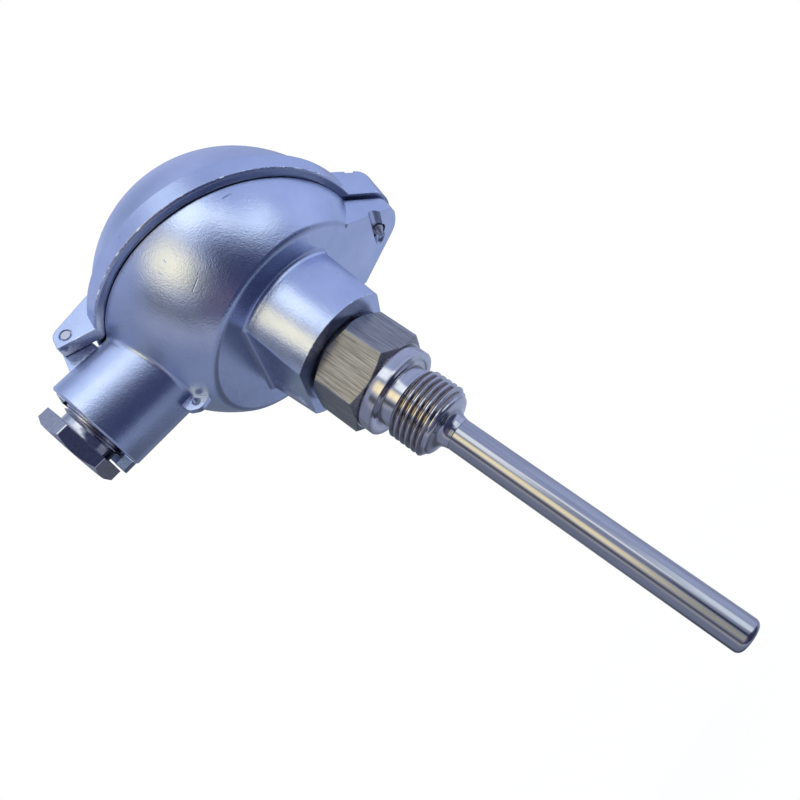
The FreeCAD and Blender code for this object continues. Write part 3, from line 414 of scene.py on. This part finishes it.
def cast_material(name, marks, is_cover):
    """Wrinkled casting with its scratches and the chips on one round edge: the cover's skirt or the
    end of the housing's neck. The raised stop beyond the housing's boss is darker, as on the real
    one: painted shade, standing in for the shade and dark reflections that fall on it. The raised
    stop beyond the housing's boss gets a darker tone, as it looks on the real one; its cause isn't
    known."""
    material, tree, shader = new_material(name)
    place = object_place(tree)
    wrinkle = noise(tree, place, 1300.0, detail=2.0, rough=0.5, distortion=1.0)
    grain = noise(tree, place, 2200.0, detail=2.0, rough=0.6)
    mottle = noise(tree, place, 70.0, detail=4.0, rough=0.6)
    cloud = noise(tree, place, 24.0, detail=2.0, rough=0.5)
    colour = mix_colour(tree, ramp(tree, mottle, 0.35, 0.65), CAST_SHADE, CAST_COLOUR)
    pits = ramp(tree, noise(tree, place, 900.0, detail=1.0, rough=0.5), 0.78, 0.82)
    colour = mix_colour(tree, math_node(tree, "MULTIPLY", pits, 0.5), colour, CAST_PIT)
    rough = ramp(tree, cloud, 0.3, 0.7, 0.23, 0.30)
    scratches = 0.0
    for start, end, width in marks:
        mark = straight_mark(tree, place, start, end, width)
        scratches = math_node(tree, "MAXIMUM", mark, scratches)
    if is_cover:
        chips = edge_chips(tree, rim_place(tree), place, SKIRT_RADIUS, SKIRT_BEVEL_TOP)
    else:
        chips = edge_chips(tree, place, place, NECK_RADIUS, NECK_FACE)
        # painted shade: the raised stop beyond the end of the boss is darkened
        along = split(tree, place)["X"]
        stop_shade = ramp(tree, along, -(BOSS_END + 0.4) * MM, -(BOSS_END + 0.1) * MM, 1.0, 0.0)
        colour = mix_colour(tree, stop_shade, colour, CAST_STOP_SHADE)
    colour = mix_colour(tree, chips, colour, CAST_BRIGHT)
    rough = math_node(tree, "ADD", rough, math_node(tree, "MULTIPLY", chips, 0.2))
    metal = math_node(tree, "SUBTRACT", 1.0, math_node(tree, "MULTIPLY", chips, 0.7))
    soft_edge = add(tree, "Bevel", {"Radius": 0.3 * MM}, samples=6).outputs["Normal"]
    relief = bump(tree, mottle, 0.20, 0.5 * MM, soft_edge)
    relief = bump(tree, wrinkle, 0.32, 0.06 * MM, relief)
    relief = bump(tree, grain, 0.55, 0.08 * MM, relief)
    relief = bump(tree, math_node(tree, "SUBTRACT", 1.0, scratches), 0.8, 0.1 * MM, relief)
    surface(tree, shader, colour, metal, rough, relief)
    return material


housing_finish = cast_material("cast_housing", HOUSING_MARKS, False)
cover_finish = cast_material("cast_cover", COVER_MARKS, True)
put_on(housing_finish, "head_housing")
put_on(cover_finish, "head_cover")
print("cast finishes", housing_finish.name, cover_finish.name)

# %% [markdown]
# Stainless steel takes its look from the tool that left it. A turned face has fine rings round the
# axis, a milled hexagon has straight lines along it, and the drawn tube is nearly a mirror with a
# faint lengthwise grain.

# %% Stainless steel
STEEL = (0.62, 0.61, 0.63, 1)
STEEL_DARK = (0.52, 0.51, 0.54, 1)
STEEL_STAIN = (0.36, 0.27, 0.19, 1)
# colour of the painted shade in the roots of the process thread
THREAD_ROOT_SHADE = (0.30, 0.25, 0.22, 1)
# where the painted shade in the roots of the process thread lies, in mm
SHADE_MIDDLE, SHADE_HALF_HEIGHT = -9.1, 5.0
SHADE_RADIUS, UNSHADED_RADIUS = 9.3, 10.1


def thread_root_shade(tree):
    """Painted shade: 0 at the roots of the process thread, where it is darkened, 1 at its crests and
    everywhere else.
    """
    parts = split(tree, object_place(tree))
    in_thread = add(tree, "Math", {0: parts["Z"], 1: SHADE_MIDDLE * MM, 2: SHADE_HALF_HEIGHT * MM},
                    operation="COMPARE").outputs[0]
    crest = ramp(tree, axis_distance(tree, parts), SHADE_RADIUS * MM, UNSHADED_RADIUS * MM)
    return math_node(tree, "MAXIMUM", crest, math_node(tree, "SUBTRACT", 1.0, in_thread))


def steel_material(name, rough, stretch, grain_scale, grain_bump, stain=0.25, light=STEEL,
                   dark=STEEL_DARK, root_shade=False):
    """Steel with a directional grain: stretch is large across the lines and small along them."""
    material, tree, shader = new_material(name)
    lines = noise(tree, object_place(tree, stretch), grain_scale, rough=0.6)
    cloud = noise(tree, object_place(tree), 160.0)
    colour = mix_colour(tree, ramp(tree, lines, 0.35, 0.65), dark, light)
    colour = mix_colour(tree, ramp(tree, cloud, 0.55, 0.75, 0.0, stain), colour, STEEL_STAIN)
    # painted shade darkens the roots of the process thread
    if root_shade:
        colour = mix_colour(tree, thread_root_shade(tree), THREAD_ROOT_SHADE, colour)
    soft_edge = add(tree, "Bevel", {"Radius": 0.15 * MM}, samples=4).outputs["Normal"]
    surface(tree, shader, colour, 1.0, ramp(tree, lines, 0.3, 0.7, rough * 0.8, rough * 1.25),
            bump(tree, lines, grain_bump, 0.08 * MM, soft_edge))
    return material


tube_finish = steel_material("drawn_tube", 0.13, (1, 1, 0.03), 1500.0, 0.04, stain=0.12,
                             light=(0.52, 0.515, 0.535, 1), dark=(0.43, 0.425, 0.45, 1))
turned_finish = steel_material("turned_steel", 0.12, (0.05, 0.05, 1), 2600.0, 0.03)
# the fitting's finish has painted shade in the roots of its thread
fitting_finish = steel_material("fitting_steel", 0.12, (0.05, 0.05, 1), 2600.0, 0.03, root_shade=True)
hex_finish = steel_material("milled_hexagon", 0.31, (1, 1, 0.035), 3200.0, 1.0, stain=0.1,
                            light=(0.49, 0.48, 0.46, 1), dark=(0.20, 0.195, 0.20, 1))
plated_finish = steel_material("plated_steel", 0.26, (1, 1, 1), 900.0, 0.06)
plug_finish = steel_material("plug_steel", 0.16, (1, 1, 1), 1200.0, 0.03, stain=0.1)
put_on(tube_finish, "stem_tube", "insert_sheath")
put_on(turned_finish, "insert_plate")
put_on(plated_finish, "hinge_pin", "cover_screw", "cover_screw_retainer", "insert_screw_1",
       "insert_screw_2", "earth_screw", "earth_washer")
print("steel finishes", [finish.name for finish in (
    tube_finish, turned_finish, fitting_finish, hex_finish, plated_finish, plug_finish)])

# %% [markdown]
# The CAD has plain cylinders where the threads are. Here the fitting and the plug are turned again
# as ring surfaces: a list of rings from end to end, each with a radius and a height in mm for every
# angle. A thread is then one formula, since the height of its crest rises with the angle.

# %% Ring surfaces
CONE = 30
FLAT_SHARE = 0.985
DULLED_CORNER, SAWN_BEVEL = 0.12, 0.08
THREAD_STEP = 0.09
CREST_WIDTH = 0.62


def mesh_piece(name, points, faces, finish, sharp):
    """Smooth object from points in mm, left sharp where it bends by more than sharp degrees."""
    mesh = bpy.data.meshes.new(name)
    mesh.from_pydata((points * MM).tolist(), [], faces)
    mesh.shade_smooth()
    mesh.set_sharp_from_angle(angle=math.radians(sharp))
    mesh.materials.append(finish)
    print(name, "faces", len(faces))
    return new_object(name, mesh)


def side_angles(corners_at, count=192):
    """Angles round an axis in radians, with extra ones beside the six corners of a hexagon."""
    even = np.arange(count) * 360.0 / count
    beside = np.array([60.0 * k + d for k in range(6) for d in (-0.8, 0.8)])
    return np.radians(np.sort(np.concatenate([even, beside % 360.0])) + corners_at)


def soften(profile, radius):
    """A profile of (r, z) points in mm with each corner rounded by three points on a curve."""
    points = [np.array(p, float) for p in profile]
    out = [points[0]]
    for before, corner, after in zip(points, points[1:], points[2:]):
        back, ahead = before - corner, after - corner
        cut = min(radius, 0.45 * np.linalg.norm(back), 0.45 * np.linalg.norm(ahead))
        start = corner + back / np.linalg.norm(back) * cut
        end = corner + ahead / np.linalg.norm(ahead) * cut
        out += [start, (start + 2 * corner + end) / 4, end]
    return out + [points[-1]]


def hexagon_rings(angles, corners_at, across, low, high, square_low=False, high_slope=CONE):
    """Rings of a hexagon whose ends are turned to a cone and whose corners are dulled. A face lies
    at half the width over the cosine of the angle from its middle. square_low leaves the lower end
    as it was sawn, and high_slope is another cone angle for the upper one."""
    half = across / 2
    from_middle = (np.degrees(angles) - corners_at) % 60.0 - 30.0
    reach = np.minimum(half / np.cos(np.radians(from_middle)),
                       half / math.cos(math.radians(30)) - DULLED_CORNER)
    inner = half * FLAT_SHARE
    low_bevel = SAWN_BEVEL if square_low else (reach - inner) * math.tan(math.radians(CONE))
    high_bevel = (reach - inner) * math.tan(math.radians(high_slope))
    return [(inner, low), (reach, low + low_bevel), (reach, high - high_bevel), (inner, high)]


def thread_rings(angles, envelope, crest, root, pitch):
    """Rings of a right-handed thread: the radius swings between root and crest with the height
    over the pitch less the angle over a full turn, and never passes the turned envelope. A crest
    width above a half cuts the wave flat at crest and root."""
    radii, heights = zip(*envelope)
    low, high = heights[0], heights[-1]
    rings = []
    for z in np.linspace(low, high, int((high - low) / THREAD_STEP)):
        phase = z / pitch - angles / (2 * math.pi)
        swing = np.clip(0.5 + CREST_WIDTH * np.cos(2 * math.pi * phase), 0.0, 1.0)
        limit = np.interp(z, heights, radii)
        rings.append((np.minimum(root + (crest - root) * swing, limit), z))
    return rings


def ring_piece(name, rings, angles, closed, to_row, finish):
    """Object from rings of (radius, height). It is closed on itself, or else by a point in the
    middle of its first and last ring. to_row lays the points where the piece belongs."""
    count = len(angles)
    radius = np.array([np.broadcast_to(r, count) for r, z in rings])
    height = np.array([np.broadcast_to(z, count) for r, z in rings])
    local = np.stack([radius * np.cos(angles), radius * np.sin(angles), height], axis=-1)
    points = [to_row(local.reshape(-1, 3))]
    grid = np.arange(radius.size).reshape(radius.shape)
    if closed:
        faces = wall_faces(np.concatenate([grid, grid[:1]]))
    else:
        faces = wall_faces(grid)
        for middle, row, order in ((grid.size, 0, 1), (grid.size + 1, -1, -1)):
            points.append(to_row(np.array([[0.0, 0.0, height[row].mean()]])))
            beside = np.roll(grid[row], -1).tolist()
            faces += [(middle, b, a)[::order] for a, b in zip(grid[row].tolist(), beside)]
    return mesh_piece(name, np.concatenate(points), faces, finish, 24)


# %% [markdown]
# The process fitting carries a parallel pipe thread with 14 turns to the inch between a sealing
# collar and the nose that holds the tube. Each part of its outline is a list of (radius, height).

# %% Process fitting
PIPE_PITCH, PIPE_CREST, PIPE_ROOT = 25.4 / 14, 10.4775, 9.316
THREAD_LOW, THREAD_HIGH, THREAD_CHAMFER = -14.6, -3.6, 1.0
GROOVE_RADIUS, COLLAR_RADIUS = 9.1, 13.0
HEX_AT, HEX_WIDTH, HEX_LOW, HEX_HIGH, HEX_SLOPE = 32.0, 27.0, 4.1, 19.1, 37
UPPER_RADIUS, UPPER_GROOVE, UPPER_START, UPPER_END = 11.9, 10.8, 19.7, 30.8
BORE_RADIUS, SOCKET_RADIUS, SOCKET_END = 3.5, 4.2, -8.0

angles = side_angles(HEX_AT)
nose = soften([(SOCKET_RADIUS, -19.0), (4.49, -19.28), (4.56, -19.0), (4.75, -18.0), (5.3, -16.8),
               (6.4, -15.95), (8.4, -15.5), (8.9, -15.2), (GROOVE_RADIUS, THREAD_LOW)], 0.5)
envelope = [(GROOVE_RADIUS, THREAD_LOW), (PIPE_CREST, THREAD_LOW + THREAD_CHAMFER),
            (PIPE_CREST, THREAD_HIGH - THREAD_CHAMFER), (GROOVE_RADIUS, THREAD_HIGH)]
turns = thread_rings(angles, envelope, PIPE_CREST, PIPE_ROOT, PIPE_PITCH)
collar = soften([(GROOVE_RADIUS, -3.5), (GROOVE_RADIUS, 0.2), (10.8, 0.2), (10.8, 0.0),
                 (COLLAR_RADIUS, 0.0), (COLLAR_RADIUS, 3.6), (12.0, HEX_LOW), (12.6, HEX_LOW)], 0.18)
hexagon = hexagon_rings(angles, HEX_AT, HEX_WIDTH, HEX_LOW, HEX_HIGH, high_slope=HEX_SLOPE)
top = soften([(10.9, HEX_HIGH), (UPPER_GROOVE, HEX_HIGH), (UPPER_GROOVE, UPPER_START),
              (UPPER_RADIUS, UPPER_START), (UPPER_RADIUS, UPPER_END), (BORE_RADIUS, UPPER_END),
              (BORE_RADIUS, SOCKET_END), (SOCKET_RADIUS, SOCKET_END), (SOCKET_RADIUS, -18.95)], 0.15)
rings = nose[:-1] + turns + collar + hexagon + top
fitting = ring_piece("process_fitting_threaded", rings, angles, True, lambda points: points,
                     fitting_finish)
fitting.data.materials.append(hex_finish)
for face in fitting.data.polygons:
    between = (HEX_LOW + 0.1) * MM < face.center.z < (HEX_HIGH - 0.1) * MM
    if between and face.center.xy.length > COLLAR_RADIUS * MM:
        face.material_index = 1
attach(fitting, "head")
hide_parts("process_fitting")

# %% [markdown]
# The plug lies along the cable entry: its own axis points to -X, so a point's height becomes
# minus X and the two other directions follow.

# %% Cable-entry plug
ENTRY_AXIS_Z = 59.4
PLUG_PITCH, PLUG_CREST, PLUG_ROOT = 1.5, 9.9, 8.98
PLUG_HEX_AT, PLUG_HEX_WIDTH, PLUG_HEX_LOW, PLUG_HEX_HIGH = 21.0, 22.0, 62.1, 66.5
PLUG_GROOVE = 8.35


def to_entry_row(points):
    """Points drawn along +Z laid down so that they point out of the cable entry."""
    return np.stack([-points[:, 2], points[:, 1], points[:, 0] + ENTRY_AXIS_Z], axis=-1)


angles = side_angles(PLUG_HEX_AT)
hollow = soften([(1.0, 57.1), (6.0, 57.1), (6.0, 48.1), (9.1, 48.1)], 0.15)
envelope = [(9.1, 48.15), (PLUG_CREST, 48.9), (PLUG_CREST, 59.5), (PLUG_GROOVE, 60.1)]
turns = thread_rings(angles, envelope, PLUG_CREST, PLUG_ROOT, PLUG_PITCH)
groove = soften([(PLUG_GROOVE, 60.15), (PLUG_GROOVE, PLUG_HEX_LOW), (10.7, PLUG_HEX_LOW)], 0.2)
hexagon = hexagon_rings(angles, PLUG_HEX_AT, PLUG_HEX_WIDTH, PLUG_HEX_LOW, PLUG_HEX_HIGH,
                        square_low=True)
rings = hollow + turns + groove + hexagon + [(2.0, PLUG_HEX_HIGH)]
plug = ring_piece("cable_entry_plug_threaded", rings, angles, False, to_entry_row, plug_finish)
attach(plug, "head")
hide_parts("cable_entry_plug")

# %% [markdown]
# Two coil springs push the insert down its tube, and get shorter when the insert is pushed back.
# A tube swept along a helix makes the wire.

# %% Insert springs
SPRING_LOW, SPRING_HIGH, SPRING_TRAVEL = 48.4, 56.4, 2.5
SPRING_RADIUS, SPRING_WIRE, SPRING_TURNS = 3.2, 0.8, 5.5
SPRING_OFFSET = 16.5


def coil_piece(name, centre_y, finish, steps=32, sides=12):
    """Coil spring whose axis stands at x = 0, y = centre_y. The middle of the wire goes round at the
    mean radius. It climbs by one wire in the first and in the last turn, which lie closed, and
    evenly between them. Round that middle the wire is a circle in the plane through the axis."""
    turns = np.linspace(0, SPRING_TURNS, int(SPRING_TURNS * steps) + 1)
    climb = np.interp(turns, [0, 1, SPRING_TURNS - 1, SPRING_TURNS],
                      [SPRING_LOW + 0.5 * SPRING_WIRE, SPRING_LOW + 1.5 * SPRING_WIRE,
                       SPRING_HIGH - 1.5 * SPRING_WIRE, SPRING_HIGH - 0.5 * SPRING_WIRE])[:, None]
    bend = 2 * np.pi * turns[:, None]
    across = 2 * np.pi * np.arange(sides)[None, :] / sides
    reach = SPRING_RADIUS + SPRING_WIRE / 2 * np.cos(across)
    wire = np.stack([reach * np.cos(bend), reach * np.sin(bend) + centre_y,
                     climb + SPRING_WIRE / 2 * np.sin(across)], axis=-1)
    grid = np.arange(wire.size // 3).reshape(wire.shape[:2])
    beside = np.roll(grid, -1, axis=1)
    faces = np.stack([grid[:-1], grid[1:], beside[1:], beside[:-1]], axis=-1).reshape(-1, 4).tolist()
    faces += [(grid.size, a, b) for a, b in zip(grid[0].tolist(), beside[0].tolist())]
    faces += [(grid.size + 1, b, a) for a, b in zip(grid[-1].tolist(), beside[-1].tolist())]
    ends = wire[[0, -1]].mean(axis=1)
    return mesh_piece(name, np.concatenate([wire.reshape(-1, 3), ends]), faces, finish, 50)


for number, centre_y in ((1, -SPRING_OFFSET), (2, SPRING_OFFSET)):
    coil = coil_piece("insert_spring_coil_%d" % number, centre_y, plated_finish)
    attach(coil, "insert")
    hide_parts("insert_spring_%d" % number)
    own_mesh(coil)

# %% [markdown]
# What the cover hides is plainer: a black rubber gasket, white unglazed ceramic, brass clamps and
# leads in red and white insulation.

# %% Finishes inside the head
def plain_material(name, colour, rough, metal=0.0, grain=700.0, depth=0.15):
    """One colour with a soft variation and a fine grain."""
    material, tree, shader = new_material(name)
    cloud = noise(tree, object_place(tree), grain, rough=0.6)
    darker = tuple(c * 0.88 for c in colour[:3]) + (1,)
    surface(tree, shader, mix_colour(tree, cloud, darker, colour), metal,
            ramp(tree, cloud, 0.3, 0.7, rough * 0.85, min(1.0, rough * 1.15)),
            bump(tree, cloud, depth, 0.1 * MM))
    return material


put_on(plain_material("black_rubber", (0.03, 0.03, 0.032, 1), 0.7), "cover_gasket")
put_on(plain_material("ceramic", (0.86, 0.84, 0.79, 1), 0.55, grain=300.0),
       "terminal_block", "sensor_element")
put_on(plain_material("brass", (0.72, 0.56, 0.30, 1), 0.3, metal=1.0, grain=900.0),
       *["terminal_%s_%d" % (piece, n) for piece in ("clamp", "screw") for n in range(1, 5)])
put_on(plain_material("red_insulation", (0.55, 0.03, 0.02, 1), 0.35, depth=0.03),
       "lead_wire_1", "lead_wire_2")
put_on(plain_material("white_insulation", (0.85, 0.85, 0.82, 1), 0.35, depth=0.03), "lead_wire_3")
